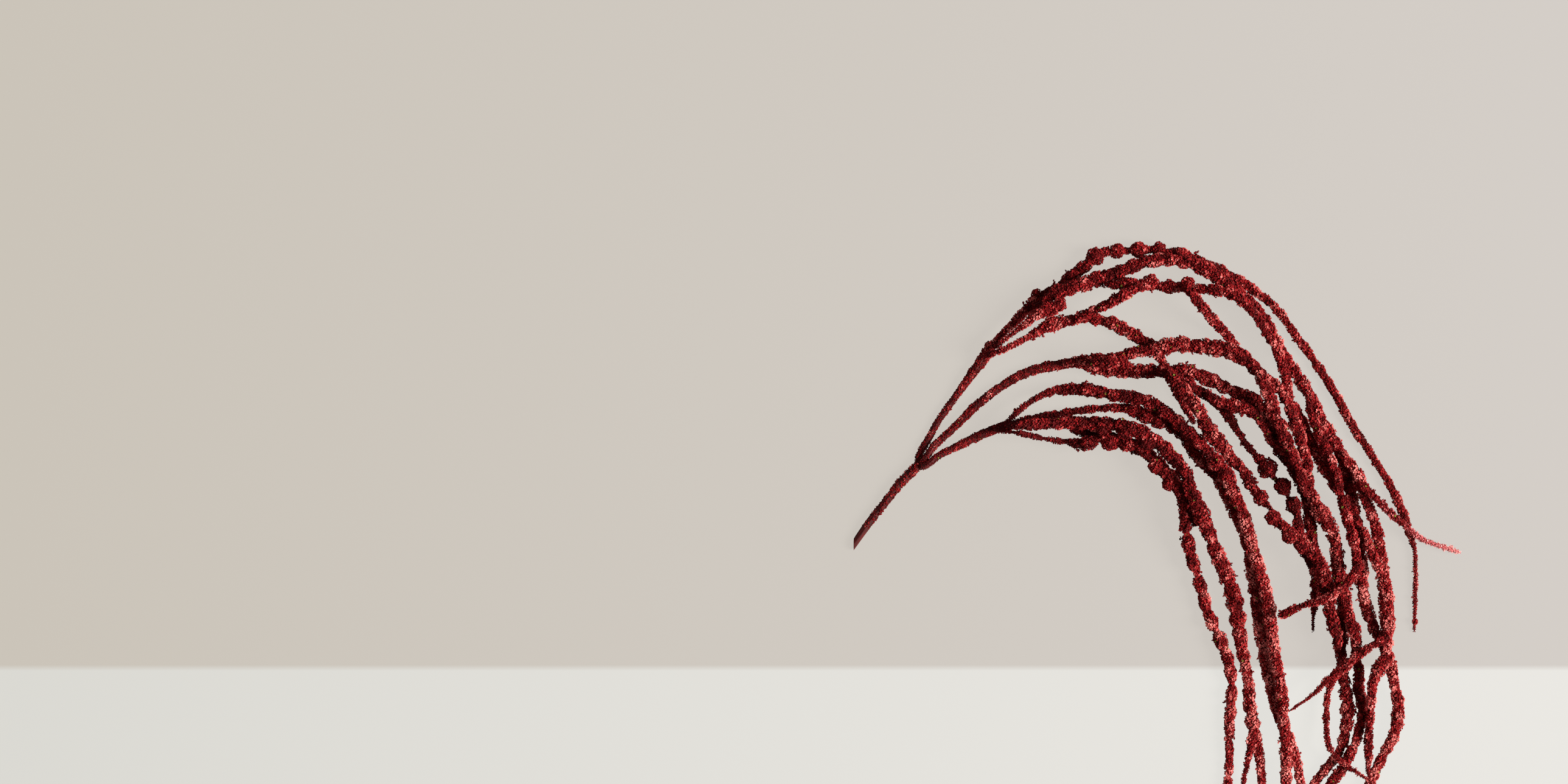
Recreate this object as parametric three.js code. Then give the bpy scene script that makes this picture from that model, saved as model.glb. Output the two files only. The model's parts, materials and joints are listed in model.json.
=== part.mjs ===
// Hanging amaranth (love-lies-bleeding): a cut flowering stem laid flat, with its long
// crumbly tassels trailing to one side and over each other.
//
// Millimetres, +Z up, the surface it lies on is z = 0. The routes are drawn from the fork
// where the stem splits into its three branches: +X runs towards the outermost tassel and
// -Y runs the way the tassels trail. The heights are not drawn. Each strand is dropped in
// turn onto the surface and onto the strands that are already lying there.
import * as THREE from 'three';

// Overall sizes.
const reach = 294;          // from the fork to the tip of the outermost spike, along X
const fall = 285;           // from the fork to the lowest tassel tip, along Y
const drawnReach = 294;     // the reach at which the routes below are drawn
const drawnFall = 285;      // the fall at which the routes below are drawn

// Thicknesses. The routes carry a radius at each point, and these multiply them.
const stemGirth = 1;        // main stem and its bare branches
const tasselGirth = 1;      // flower tassels and spikes

// How the strands lie.
const clearance = 0.6;      // air left between two strands that touch
const stemStiffness = 14;   // easing passes of a woody stem: more makes a longer, flatter arc
const tasselStiffness = 5;  // easing passes of a limp tassel
const steepestRise = 0.6;   // steepest climb of a strand away from where it grows

// How finely a strand is made.
const ringStep = 9;         // about this far from one ring to the next
const restStep = 1.5;       // how finely two strands are compared where they cross
const ringSides = 7;        // corners of each ring
const capShare = 0.7;       // length of a rounded end, as a share of its radius

const barkColour = 0x5a2a22;
const crimson = 0x8a1c2c;
const wine = 0x5e0e1a;
const salmon = 0xc2525a;

// ---------------------------------------------------------------- routes
// Each route is a list of [x, y, radius], from where the strand grows to its tip.

const stems = {
  main_stem: [
    [-39, -50, 1.8], [-29, -36, 2.2], [-21, -26, 2.4], [-14, -17, 2.6], [-8, -11, 2.8], [-3, -6, 2.6],
  ],
  upper_branch: [
    [-3, -1, 1.4], [2, 8, 1.5], [7, 17, 1.5], [16, 30, 1.7], [24, 41, 2.2], [32, 52, 2.8],
    [37, 60, 2.8],
  ],
  middle_branch: [
    [0, -3, 1.4], [5, 4, 1.8], [15, 13, 1.8], [28, 26, 2.1], [41, 36, 2], [55, 44, 2.3], [70, 48, 2.6],
    [84, 50, 2],
  ],
  lower_branch: [
    [0, -7, 1.4], [8, -1, 1.5], [20, 5, 2], [33, 11, 2.3], [47, 16, 2.4],
  ],
};

const tassels = {
  crest_tassel: [
    [35, 58, 1.8], [43, 66, 2], [51, 74, 2.6], [58, 81, 3], [65, 86, 3.6], [72, 90, 3.6], [79, 96, 3.6],
    [87, 102, 3.8], [93, 107, 4.2], [99, 110, 3.4], [105, 111, 4], [111, 111, 3.5], [117, 112, 4.2],
    [129, 111, 3.6], [141, 109, 3.8], [150, 105, 3.6], [160.5, 100.5, 3.4], [170.5, 95.5, 2.8], [183, 87.5, 2.4],
    [193, 79.5, 2.2], [200, 69.5, 2.2], [209, 57.5, 2.3], [219, 42.5, 2.2], [227, 29.5, 2.4], [234.5, 15.5, 2.2],
    [249, -7, 2], [259, -25, 2.2], [265, -41, 2.2], [268.5, -53, 1.4], [269, -80, 1.4], [268.5, -98, 0.8],
  ],
  inner_crest_tassel: [
    [62, 81, 2], [70, 87, 3.6], [80, 91, 4], [90, 94, 4.2], [100, 97, 4], [110, 101, 3.8],
    [121, 105, 3.6], [132, 106, 3.4], [143, 105, 3.8], [155, 100, 4], [168, 91, 3.6], [175, 85, 3.6],
    [183, 77, 3.4], [190, 66, 3.2], [199, 50, 3.2], [210, 34, 3.2], [218, 16, 3.6], [227, 2, 3.6],
    [231, -10, 3.6], [234, -25, 3.5], [237, -40, 3.5], [238, -50, 4], [239, -60, 4], [239.5, -71, 3.4],
    [241, -79, 3.4], [243, -87, 3.2], [246.5, -96, 3.4], [250, -105, 2.2],
  ],
  beaded_crest_tassel: [
    [100, 92, 1.6], [108, 93, 3], [122, 92, 4.2], [133, 91, 3.8], [144, 91, 4], [152, 90, 3],
    [160, 89, 3], [168, 87, 3], [177, 80, 2.4], [185, 69, 2.4], [190, 61, 2.4], [195, 50, 3],
    [198, 40, 2.6], [199, 30, 3.2], [204, 21, 3.6], [210, 9, 4.2], [216, -2, 3.8], [222, -13, 3.5],
    [228, -23, 3], [230, -33, 3], [233, -43, 3], [236, -55, 2.8], [236, -64, 2.2],
  ],
  crest_shaded_tassel: [
    [210, 26, 1.6], [213, 17, 2.4], [217, 8, 3], [221, -2, 2.8], [225, -12, 2.4], [228, -20, 1.2],
  ],
  crest_thin_tassel: [
    [39, 59, 1.5], [47, 65, 1.4], [55, 71, 2], [62, 77, 3], [69, 79, 3.8], [76, 83, 1.8],
  ],
  crest_underside_tassel: [
    [34, 54, 1.8], [43, 57, 1.7], [57, 64, 2], [68, 70, 3.6], [80, 73, 3.5], [92, 74, 3], [102, 71, 3.4],
    [111, 67, 3.4], [118, 62.5, 3.6], [126, 57.5, 3], [130, 51, 2.6], [134, 43, 2.4], [139, 32, 2.2],
    [144, 24, 2.2], [148, 16, 1.4],
  ],
  crest_short_spike: [
    [84, 75, 2.2], [92, 78, 2.6], [100, 82, 2.6], [107, 86, 3], [115, 90, 2.4], [121, 92, 1.4],
  ],
  crossing_spike: [
    [143, 90, 2], [147.5, 85, 2.8], [152.5, 79, 2.8], [158.5, 72, 2.8], [164.5, 66, 2.6], [170.5, 58.5, 2.2],
  ],
  middle_inner_tassel: [
    [80, 50, 1.8], [88, 48, 2.6], [95, 46, 3], [110, 45, 3.4], [128, 45, 3.8], [142, 45, 4],
    [155, 41, 4], [167, 35, 3.5], [175, 31.5, 4], [181, 28, 4.6], [187, 20, 4.8], [190, 11, 4.2],
    [197, -1, 3.6], [203, -10, 3.2], [208, -20, 3.2], [211, -33, 3.4], [212, -46, 3.6], [214, -60, 3.2],
    [215, -72, 3.2], [214, -82, 2.2], [213, -90, 1.1], [213, -98, 0.7],
  ],
  middle_outer_tassel: [
    [78, 50, 1.8], [88, 52, 2], [97, 52, 2.6], [108, 53, 2.6], [116, 56, 3.2], [126, 57, 3.8],
    [139, 60, 4.8], [145, 59, 3.4], [151, 59, 4], [162, 57, 4.4], [171, 55, 4.8], [179, 48, 3.4],
    [186, 41, 3.4], [193, 36, 3.2], [198, 29, 3.2], [202, 18, 3.6], [206, 5, 3.4], [209, -5, 3],
    [210, -16, 2.8], [213, -25, 3], [217, -33, 4.2], [223, -42, 3.4], [226, -56, 3.7], [227, -68, 4.5],
    [230, -82, 4.3], [228, -98, 4.4], [228, -112, 3], [230.5, -128, 3.2], [232, -143, 3.8],
    [230, -155, 3], [227, -164, 2.2], [221, -172, 2.4], [213, -182, 2.4], [206, -196, 2.6],
    [201, -213, 2.4], [199, -232, 1.8], [199, -246, 0.7],
  ],
  middle_side_tassel: [
    [182, 45, 2.4], [185, 38, 3.6], [188, 30, 3.4], [191, 22, 3.2], [195, 13, 3.4], [199, 4, 3.2],
    [203, -5, 2.8], [206, -14, 2.4], [208, -22, 1.4],
  ],
  middle_short_spike: [
    [86, 50, 1.6], [98, 50, 3], [108, 49, 2.6], [114, 48, 1.2],
  ],
  middle_beaded_tassel: [
    [132, 43, 2.2], [141, 39, 3], [150, 34, 2.8], [158, 29, 2.6], [165, 22, 2.6], [171, 13, 2],
    [176, 5, 2], [182, -2, 2], [188, -8, 5.6], [191, -13, 2.6], [196, -18, 5.2], [199, -24, 2.6],
    [203, -31, 4.6], [205, -42, 4.4], [209, -54, 3.2], [211, -63, 1.4],
  ],
  middle_under_tassel: [
    [155, 32, 2], [161, 28, 3.2], [169, 26, 3.6], [177, 24, 3.4], [183, 19, 3], [187, 12, 2.4],
    [190, 5, 1.4],
  ],
  middle_cluster_tassel: [
    [134, 42, 2.2], [141, 34, 3.4], [149, 24, 3.4], [155, 13, 4.2], [161, 6, 4.2], [167, -2, 3.6],
    [174, -9, 2.6], [177, -14, 3.4], [184, -25, 3.6], [189, -30, 2], [191, -35, 4], [199, -43, 4.6],
    [207, -49, 4.2], [214, -57, 3.4], [218, -66, 4], [220, -77, 4], [222, -88, 3.3], [225, -98, 3.2],
    [226, -107, 1.8],
  ],
  lower_second_tassel: [
    [44, 15, 1.5], [58, 19, 2], [72, 21, 2.2], [88, 24, 2], [104, 25, 2.1], [112, 25, 2.8],
    [120, 22, 3.4], [130, 18, 3.6], [141, 11, 3.4], [148, 0, 3.4], [160, -12, 3.4], [166, -23, 3.4],
    [172, -36, 3.4], [177, -50, 3.2], [180, -66, 3.4], [182, -83, 3.6], [184.5, -100, 3.6],
    [187.5, -118, 3.2], [191.5, -135, 3.2], [196, -149, 3], [200, -158, 2.8], [204, -171, 2.4],
    [206, -182, 2.4], [209, -202, 2.6], [210, -225, 2.4], [209, -248, 1.8], [208, -264, 0.7],
  ],
  lower_outer_tassel: [
    [43, 15, 1.5], [52, 24, 1.7], [62, 31, 1.8], [75, 35, 2.8], [88, 35, 4], [104, 32, 3],
    [117, 30, 3.8], [128, 25, 3.6], [139, 16.5, 3.4], [147, 9, 3.6], [155.5, -0.5, 3.8], [164, -10, 4.4],
    [169, -22, 3.6], [175, -35, 3.4], [179, -50, 3.4], [184, -67, 3.4], [188, -83, 3.6],
    [190, -100, 3.6], [193, -118, 3.2], [195.5, -135, 3.1], [197, -155, 3], [198, -172, 3.2],
    [197, -190, 3.3], [195, -215, 3.2], [192, -240, 2.8], [190, -265, 2], [190, -285, 0.7],
  ],
  lower_short_tassel: [
    [82, 13, 2], [95, 10, 3.4], [110, 6, 3.6], [122, 0, 3.8], [130, -7, 3], [137, -15, 3.6],
    [142, -24, 4], [147, -33, 3.6], [149, -40, 1.8],
  ],
  lower_inner_tassel: [
    [40, 13, 1.5], [52, 11, 1.6], [66, 8, 1.6], [80, 6, 2], [88, 5, 3.8], [96, 8, 2.8], [104, 6, 3.6],
    [118, 3, 3.2], [127, -6, 3.6], [135, -15, 3.2], [141, -25, 3.2], [142, -37, 3], [144, -47, 3.6],
    [146.5, -58, 3.6], [151, -72, 3.2], [155, -87, 3.4], [161, -100, 3.8], [165.5, -111, 3.4],
    [168, -122, 3.2], [168, -136, 3.2], [167, -150, 2.9], [167, -170, 2.2], [165.5, -188, 2.2],
    [163, -208, 2.2], [162, -226, 1.6], [162, -240, 0.7],
  ],
  lower_third_tassel: [
    [46, 15, 1.8], [62, 16, 3], [78, 17, 3.6], [95, 16, 3.8], [112, 14, 4.2], [124, 8, 4.2],
    [133, 0, 4], [141, -9, 4], [145, -19, 3.8], [150, -31, 4.4], [156, -45, 3.8], [161, -57, 4.2],
    [167, -71, 4.2], [171, -86, 4.8], [173, -104, 3.7], [177, -122, 2.8], [178, -136, 3.5],
    [181, -154, 3.4], [184, -170, 2.4], [185, -183, 2.4], [187, -200, 2.6], [187, -222, 2.4],
    [185, -244, 1.8], [184, -258, 0.7],
  ],
  lower_third_spike: [
    [179, -156, 2.4], [177.5, -166, 1.8], [175, -178, 1.4], [173, -194, 1.2], [172, -204, 0.7],
  ],
  right_tassel: [
    [229, -1, 2], [237, -12, 3.4], [241, -24, 3], [245, -34, 2.6], [248, -44, 3.1], [250, -55, 3],
    [251.5, -68, 3.6], [253, -82, 4.4], [253, -95, 4], [252, -106, 3.8], [255, -116, 3], [257, -126, 3],
    [259.5, -138, 3.4], [258.5, -150, 3.4], [254, -161, 3.1], [248, -172, 3], [244, -182, 3.4],
    [240, -197, 3.2], [237, -215, 2.8], [236, -234, 2.1], [236, -250, 0.7],
  ],
  right_short_tassel: [
    [240, -42, 2], [243, -50, 2.6], [246, -58, 2.6], [249, -66, 1.8],
  ],
  knotted_tassel: [
    [231, -86, 2.6], [234, -95, 3.8], [236, -103, 3.2], [236, -110, 2.2], [238, -120, 2.7],
    [238, -130, 3.2], [240.5, -141, 3.2], [238.5, -150, 2.6], [236.5, -158, 2.6], [232, -166, 3],
    [228, -174, 3], [222, -182, 2.6], [217, -195, 2.6], [215, -215, 2], [215, -232, 0.7],
  ],
  side_tassel: [
    [253, -111, 2.6], [248, -117, 4], [245, -126, 2.6], [244, -140, 2.3], [243, -155, 2.3],
    [243, -167, 2], [243, -176, 1.1],
  ],
  loop_tassel: [
    [226, -121, 2], [221, -130, 1.8], [220, -143, 1.9], [220, -153, 1.7], [222, -162, 1.6],
    [229, -170, 1.6], [237, -175, 1.3], [243, -179, 0.9],
  ],
  left_spike: [
    [237, -62, 2.2], [231, -70, 2.4], [223, -76.5, 2.2], [215, -80.5, 2], [205, -83.5, 1.8], [196, -88, 2.4],
    [193, -89, 1.2],
  ],
  diagonal_spike: [
    [252, -101, 2.2], [243, -106, 2], [236, -111, 2.4], [228, -118, 2.6], [220, -124, 1.8],
    [212, -132, 1.2], [205, -137, 0.9], [199, -141, 0.6],
  ],
  pink_spike: [
    [239, -18, 2.2], [247, -25, 2], [254, -32, 2.1], [261, -38, 1.9], [270, -45.5, 1.7], [280, -50, 1.4],
    [288, -52.5, 1.5], [294, -54.5, 0.9],
  ],
};

// ---------------------------------------------------------------- lying down

// The rings of a strand in plan: a smooth curve through its points, with the radius
// carried as the curve's third value, cut evenly between each two points.
function planRings(route, girth) {
  const points = route.map(([x, y, radius]) => new THREE.Vector3(
    (x * reach) / drawnReach,
    (y * fall) / drawnFall,
    radius * girth,
  ));
  const curve = new THREE.CatmullRomCurve3(points);
  const rings = [points[0]];
  for (let span = 1; span < points.length; span += 1) {
    const length = points[span].distanceTo(points[span - 1]);
    const cuts = Math.max(1, Math.round(length / ringStep));
    for (let cut = 1; cut <= cuts; cut += 1) {
      rings.push(curve.getPoint((span - 1 + cut / cuts) / (points.length - 1)));
    }
  }
  return rings.map((ring) => ({ x: ring.x, y: ring.y, radius: ring.z, z: ring.z }));
}

// Close samples along the straight pieces between two neighbouring rings.
function samplesBetween(near, far) {
  const count = Math.max(1, Math.ceil(Math.hypot(far.x - near.x, far.y - near.y) / restStep));
  return Array.from({ length: count + 1 }, (_, index) => {
    const share = index / count;
    return {
      x: THREE.MathUtils.lerp(near.x, far.x, share),
      y: THREE.MathUtils.lerp(near.y, far.y, share),
      z: THREE.MathUtils.lerp(near.z, far.z, share),
      radius: THREE.MathUtils.lerp(near.radius, far.radius, share),
    };
  });
}

// The lowest height a round strand of this radius can have here: on the surface, or on
// the shoulder of a strand that already lies close by.
function restHeight(sample, lying) {
  return lying.reduce((height, other) => {
    const apart = sample.radius + other.radius + clearance;
    const aside = Math.hypot(sample.x - other.x, sample.y - other.y);
    if (aside >= apart) return height;
    return Math.max(height, other.z + Math.sqrt(apart * apart - aside * aside));
  }, sample.radius);
}

// Drops a strand onto what lies there, then eases it like a stiff stem or a limp tassel,
// never below where it is held up. Its first ring stays down by what it grows from, and
// from there it rises no more steeply than it has to, or than a strand can.
function layDown(rings, lying, passes) {
  const held = rings.map((ring) => ring.radius);
  const firstStretch = samplesBetween(rings[0], rings[1]);
  const runs = firstStretch.map(({ x, y }) => Math.hypot(x - rings[0].x, y - rings[0].y));
  const rests = firstStretch.map((sample) => restHeight(sample, lying));
  held[0] = Math.max(...rests.map((rest, index) => rest - steepestRise * runs[index]));
  const rises = rests.slice(1).map((rest, index) => (rest - held[0]) / runs[index + 1]);
  held[1] = Math.max(held[1], held[0] + Math.max(...rises) * runs.at(-1));
  for (let index = 2; index < rings.length; index += 1) {
    const between = samplesBetween(rings[index - 1], rings[index]);
    const height = Math.max(...between.map((sample) => restHeight(sample, lying)));
    held[index - 1] = Math.max(held[index - 1], height);
    held[index] = Math.max(held[index], height);
  }
  let heights = held;
  for (let pass = 0; pass < passes; pass += 1) {
    heights = heights.map((height, index) => {
      if (index === 0) return height;
      const after = heights[Math.min(index + 1, heights.length - 1)];
      return Math.max(held[index], (heights[index - 1] + height + after) / 3);
    });
  }
  return rings.map((ring, index) => ({ ...ring, z: heights[index] }));
}

// ---------------------------------------------------------------- solids

// A closed tube around the rings, rounded off at its ends. A cut stem starts with a flat
// face instead.
function strandGeometry(rings, cutStart) {
  const centres = rings.map((ring) => new THREE.Vector3(ring.x, ring.y, ring.z));
  const last = centres.length - 1;
  const up = new THREE.Vector3(0, 0, 1);
  const positions = [];
  const along = centres.map((centre, index) => new THREE.Vector3()
    .subVectors(centres[Math.min(index + 1, last)], centres[Math.max(index - 1, 0)]).normalize());
  centres.forEach((centre, index) => {
    const side = new THREE.Vector3().crossVectors(up, along[index]).normalize();
    const top = new THREE.Vector3().crossVectors(along[index], side);
    for (let corner = 0; corner < ringSides; corner += 1) {
      const turn = (2 * Math.PI * corner) / ringSides;
      const point = centre.clone()
        .addScaledVector(side, rings[index].radius * Math.cos(turn))
        .addScaledVector(top, rings[index].radius * Math.sin(turn));
      positions.push(point.x, point.y, point.z);
    }
  });
  const startCap = cutStart ? 0 : capShare * rings[0].radius;
  const startPole = centres[0].clone().addScaledVector(along[0], -startCap);
  const endPole = centres[last].clone().addScaledVector(along[last], capShare * rings[last].radius);
  positions.push(...startPole.toArray(), ...endPole.toArray());

  const faces = [];
  const startIndex = centres.length * ringSides;
  for (let corner = 0; corner < ringSides; corner += 1) {
    const next = (corner + 1) % ringSides;
    for (let index = 0; index < last; index += 1) {
      const a = index * ringSides + corner;
      const b = index * ringSides + next;
      faces.push(a, b, b + ringSides, a, b + ringSides, a + ringSides);
    }
    faces.push(startIndex, next, corner);
    faces.push(startIndex + 1, last * ringSides + corner, last * ringSides + next);
  }
  const geometry = new THREE.BufferGeometry();
  geometry.setAttribute('position', new THREE.Float32BufferAttribute(positions, 3));
  geometry.setIndex(faces);
  geometry.computeVertexNormals();
  return geometry;
}

function strandColour(name) {
  if (name in stems) return barkColour;
  if (name === 'pink_spike') return salmon;
  return name.startsWith('middle') ? wine : crimson;
}

// ---------------------------------------------------------------- the spray

const spray = new THREE.Group();
const lying = [];

function addStrand(name, route, girth, passes) {
  const rings = layDown(planRings(route, girth), lying, passes);
  rings.slice(1).forEach((ring, index) => lying.push(...samplesBetween(rings[index], ring)));
  const material = new THREE.MeshStandardMaterial({
    color: strandColour(name), roughness: 0.9, metalness: 0,
  });
  const strand = new THREE.Mesh(strandGeometry(rings, name === 'main_stem'), material);
  strand.name = name;
  spray.add(strand);
}

for (const [name, route] of Object.entries(stems)) addStrand(name, route, stemGirth, stemStiffness);
for (const [name, route] of Object.entries(tassels)) addStrand(name, route, tasselGirth, tasselStiffness);

// The origin goes to the middle of the whole spray, on the surface that it lies on.
const extent = new THREE.Box3().setFromObject(spray);
const middle = extent.getCenter(new THREE.Vector3());
spray.position.set(-middle.x, -middle.y, -extent.min.z);

export default spray;
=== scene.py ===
# %% [markdown]
# # Hanging amaranth, cut and laid flat
#
# Love-lies-bleeding carries its flowers in long crumbly tassels. Each tassel is a thin stem
# hidden under lumps of flowers, called glomerules, and each lump is dozens of papery flowers
# a little over a millimetre across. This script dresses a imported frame, in which every
# strand is a plain tapering tube, with that living surface.

# %% Load the frame
import json
import math

import bmesh
import bpy
import numpy as np
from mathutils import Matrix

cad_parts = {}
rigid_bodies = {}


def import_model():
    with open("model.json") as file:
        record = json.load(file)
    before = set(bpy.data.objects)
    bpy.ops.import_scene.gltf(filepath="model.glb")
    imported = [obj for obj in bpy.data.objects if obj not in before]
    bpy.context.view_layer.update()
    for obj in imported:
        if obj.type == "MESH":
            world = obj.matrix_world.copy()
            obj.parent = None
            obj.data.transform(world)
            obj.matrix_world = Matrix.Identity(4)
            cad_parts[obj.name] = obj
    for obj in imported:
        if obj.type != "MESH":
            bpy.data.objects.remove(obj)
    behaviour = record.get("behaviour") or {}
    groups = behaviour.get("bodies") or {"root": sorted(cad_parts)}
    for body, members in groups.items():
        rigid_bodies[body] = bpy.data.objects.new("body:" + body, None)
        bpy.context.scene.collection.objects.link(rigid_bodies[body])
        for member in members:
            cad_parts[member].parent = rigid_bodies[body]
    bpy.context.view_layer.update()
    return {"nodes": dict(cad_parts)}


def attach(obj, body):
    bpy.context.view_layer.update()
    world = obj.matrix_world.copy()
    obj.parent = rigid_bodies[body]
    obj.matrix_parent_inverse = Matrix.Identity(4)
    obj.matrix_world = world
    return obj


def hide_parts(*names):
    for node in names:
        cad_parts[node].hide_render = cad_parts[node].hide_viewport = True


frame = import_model()

# %% [markdown]
# ## What grows from what
#
# The frame says where each strand lies, but not which strand it grows from. The plant is a
# tree: a stem, three branches, and tassels that spring from a branch or from another tassel.
# It could be guessed from distances, but strands also cross where nothing grows, so the
# family tree is written down. Each strand is named with the one that carries it, carrier
# first, so a loop can build them in this order.

# %% The family tree
CARRIERS = {
    "main_stem": None,
    "upper_branch": "main_stem",
    "middle_branch": "main_stem",
    "lower_branch": "main_stem",
    "crest_tassel": "upper_branch",
    "inner_crest_tassel": "crest_tassel",
    "beaded_crest_tassel": "inner_crest_tassel",
    "crest_shaded_tassel": "inner_crest_tassel",
    "crest_thin_tassel": "upper_branch",
    "crest_underside_tassel": "upper_branch",
    "crest_short_spike": "crest_underside_tassel",
    "crossing_spike": "beaded_crest_tassel",
    "middle_inner_tassel": "middle_branch",
    "middle_outer_tassel": "middle_branch",
    "middle_side_tassel": "middle_outer_tassel",
    "middle_short_spike": "middle_branch",
    "middle_beaded_tassel": "middle_inner_tassel",
    "middle_under_tassel": "middle_beaded_tassel",
    "middle_cluster_tassel": "middle_inner_tassel",
    "lower_second_tassel": "lower_branch",
    "lower_outer_tassel": "lower_branch",
    "lower_inner_tassel": "lower_branch",
    "lower_third_tassel": "lower_branch",
    "lower_short_tassel": "lower_third_tassel",
    "lower_third_spike": "lower_third_tassel",
    "right_tassel": "inner_crest_tassel",
    "right_short_tassel": "inner_crest_tassel",
    "knotted_tassel": "middle_outer_tassel",
    "side_tassel": "right_tassel",
    "loop_tassel": "middle_outer_tassel",
    "left_spike": "inner_crest_tassel",
    "diagonal_spike": "right_tassel",
    "pink_spike": "inner_crest_tassel",
}
STEMS = ("main_stem", "upper_branch", "middle_branch", "lower_branch")
print("strands without a carrier:", [name for name, carrier in CARRIERS.items() if carrier is None])

# %% [markdown]
# ## Reading a strand's middle line
#
# A strand in the frame is a closed tube of rings between two poles. Its middle line and its
# girth are what a new surface needs. They could be typed in again, but then they might stop
# matching the frame. Instead the tube's corners are walked outwards from one pole, which is
# the corner where the most edges meet: a corner that is k edges away lies on ring k, and the
# middle of each ring is a point of the line.

# %% Walk a tube from pole to pole
# The scene is in metres.
MM = 0.001
SAME_CORNER = 0.02 * MM


def steps_from(start, edges, count):
    """How many edges each corner is from the start. Each round, the neighbours of the corners
    reached last that aren't reached yet are one step further."""
    steps = np.full(count, -1)
    steps[start] = 0
    both_ways = np.vstack([edges, edges[:, ::-1]])
    for step in range(1, count):
        here = both_ways[steps[both_ways[:, 0]] == step - 1, 1]
        fresh = here[steps[here] < 0]
        if len(fresh) == 0:
            break
        steps[fresh] = step
    return steps


def read_strand(node):
    """Rows of x, y, z and radius along a strand: each ring's mean corner, and the mean distance
    of its corners from there."""
    tube = bmesh.new()
    tube.from_mesh(frame["nodes"][node].data)
    bmesh.ops.remove_doubles(tube, verts=tube.verts, dist=SAME_CORNER)
    corners = np.array([vert.co for vert in tube.verts])
    edges = np.array([[vert.index for vert in edge.verts] for edge in tube.edges])
    tube.free()
    pole = np.bincount(edges.ravel()).argmax()
    steps = steps_from(pole, edges, len(corners))
    rings = [corners[steps == step] for step in range(1, steps.max())]
    middles = np.array([ring.mean(0) for ring in rings])
    radii = [np.linalg.norm(ring - middle, axis=1).mean() for ring, middle in zip(rings, middles)]
    return np.column_stack([middles, radii])


strands = {name: read_strand(name) for name in CARRIERS}
print("rings read:", sum(len(rows) for rows in strands.values()))

# %% [markdown]
# ## A smooth line that starts inside its carrier
#
# The frame's strands are kept a little apart, as separate solids have to be, but a real
# tassel grows out of its carrier. So each line gets one more point at its start, on the
# middle of the strand that carries it. A Catmull-Rom curve then rounds the whole line. It
# passes through every point, which a Bezier or a spline of control points would not.

# %% Smooth rows
LINE_STEP = 0.5 * MM


def smooth_rows(knots, step):
    """Catmull-Rom curve through the rows: between two knots the cubic leaves along the way from
    the knot before to the knot after, halved, and arrives the same way."""
    spans = np.linalg.norm(np.diff(knots[:, :3], axis=0), axis=1)
    padded = np.vstack([2 * knots[0] - knots[1], knots, 2 * knots[-1] - knots[-2]])
    counts = np.maximum(2, np.ceil(spans / step)).astype(int)
    span = np.repeat(np.arange(len(counts)), counts)
    share = np.concatenate([np.arange(count) / count for count in counts])[:, None]
    before, near, far, after = (padded[span + offset] for offset in range(4))
    rows = 0.5 * (
        2 * near
        + (far - before) * share
        + (2 * before - 5 * near + 4 * far - after) * share**2
        + (3 * near - before - 3 * far + after) * share**3
    )
    return np.vstack([rows, knots[-1]])


trial_rows = smooth_rows(strands["main_stem"], LINE_STEP)
print("the stem:", len(strands["main_stem"]), "rings become", len(trial_rows), "rows")

# %% A line and its directions
LEAST_RADIUS = 0.4 * MM


def unit(vectors):
    """The same directions with length one."""
    return vectors / np.maximum(np.linalg.norm(vectors, axis=-1, keepdims=True), 1e-12)


def make_line(knots):
    """A line as arrays along its length: distance, middle, radius, direction, and two
    directions across it. The first one across is level, square to where the strand heads."""
    rows = smooth_rows(knots, LINE_STEP)
    middle = rows[:, :3]
    distance = np.concatenate([[0], np.cumsum(np.linalg.norm(np.diff(middle, axis=0), axis=1))])
    along = unit(np.gradient(middle, axis=0))
    heading = np.gradient(middle[:, :2], axis=0)
    level = unit(np.column_stack([-heading[:, 1], heading[:, 0], np.zeros(len(rows))]))
    across = unit(np.cross(along, level))
    side = np.cross(across, along)
    radius = np.maximum(rows[:, 3], LEAST_RADIUS)
    return {
        "at": distance, "middle": middle, "radius": radius,
        "along": along, "side": side, "across": across,
    }


def along_line(line, key, at):
    """A column of the line at these distances, read between its rows."""
    values = line[key]
    if values.ndim == 1:
        return np.interp(at, line["at"], values)
    return np.column_stack([np.interp(at, line["at"], column) for column in values.T])


def rooted(rows, carrier):
    """A strand's rows, turned to start at the end that is nearer its carrier, after one more
    row on the carrier's middle. A strand without a carrier starts at its lower x."""
    if carrier is None:
        return rows if rows[0, 0] < rows[-1, 0] else rows[::-1]
    gaps = [np.linalg.norm(carrier["middle"] - end[:3], axis=1) for end in (rows[0], rows[-1])]
    if gaps[1].min() < gaps[0].min():
        rows = rows[::-1]
        gaps = gaps[::-1]
    root = gaps[0].argmin()
    root_row = [*carrier["middle"][root], min(carrier["radius"][root], rows[0, 3])]
    return np.vstack([root_row, rows])


lines = {}
for name, carrier in CARRIERS.items():
    lines[name] = make_line(rooted(strands[name], lines.get(carrier)))
print("longest line:", round(max(line["at"][-1] for line in lines.values()) / MM), "mm")

# %% [markdown]
# ## Girths that differ from the frame
#
# Some tassels thin out between two places, where beads of flowers hang on a bare thread. The
# frame's tube keeps an even taper there, so the line's radius is scaled down between the two
# places, with a short fade at each. The branches are woody and get a little more girth. The
# frame could carry all this too, but thin and thick by turns is finish rather than structure.

# %% Change the girths
BRANCH_EXTRA = 0.2 * MM
BRANCH_LEAST = 1.9 * MM
# Where the thread starts and ends, as shares of the length, and the share of the girth kept.
THINNED = {
    "crest_tassel": (0.19, 0.33, 0.55),
    "beaded_crest_tassel": (0.1, 0.24, 0.65),
    "crest_underside_tassel": (0.36, 0.56, 0.75),
    "middle_beaded_tassel": (0.54, 0.94, 0.6),
    "middle_cluster_tassel": (0.45, 0.72, 0.65),
}
THINNING_FADE = 0.015

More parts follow.
